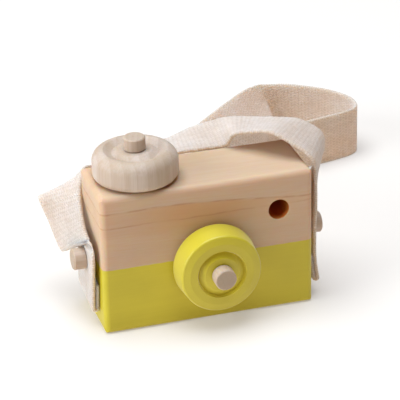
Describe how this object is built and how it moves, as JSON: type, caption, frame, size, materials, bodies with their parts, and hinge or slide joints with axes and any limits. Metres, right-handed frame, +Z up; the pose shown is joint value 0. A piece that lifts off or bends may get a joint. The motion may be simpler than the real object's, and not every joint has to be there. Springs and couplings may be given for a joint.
{
  "type": "toy camera",
  "caption": "Wooden toy camera: half-painted pine block with a spinning turned lens wheel, a spinning top dial, a drilled viewfinder and a webbing neck strap pinned to its sides.",
  "frame": {"origin": "middle of the block's underside", "axes": "+X along the block's width to the viewer's right when the lens faces the viewer, -Y out of the lens side, +Z up"},
  "size_m": [0.1849, 0.2019, 0.0843],
  "materials": {
    "dipped_pine": "sanded bare pine above, matt yellow paint on the lower half",
    "yellow_paint": "turned wood under satin yellow paint",
    "turned_wood": "turned and sanded, left bare",
    "cotton_webbing": "unbleached herringbone cotton webbing"
  },
  "bodies": {
    "body": {"body_block": "dipped_pine", "lens_axle_peg": "turned_wood", "dial_axle_peg": "turned_wood", "left_strap_peg": "turned_wood", "right_strap_peg": "turned_wood", "strap_left_end": "cotton_webbing", "neck_strap": "cotton_webbing", "strap_right_end": "cotton_webbing"},
    "lens": {"lens_wheel": "yellow_paint"},
    "dial": {"dial_wheel": "turned_wood"}
  },
  "joints": [
    {"name": "lens_spin", "type": "hinge", "parent": "body", "child": "lens", "pos_m": [0.0018, -0.0175, 0.028], "axis": [0, -1, 0], "continuous": true},
    {"name": "dial_spin", "type": "hinge", "parent": "body", "child": "dial", "pos_m": [-0.027, 0, 0.065], "axis": [0, 0, 1], "continuous": true}
  ]
}
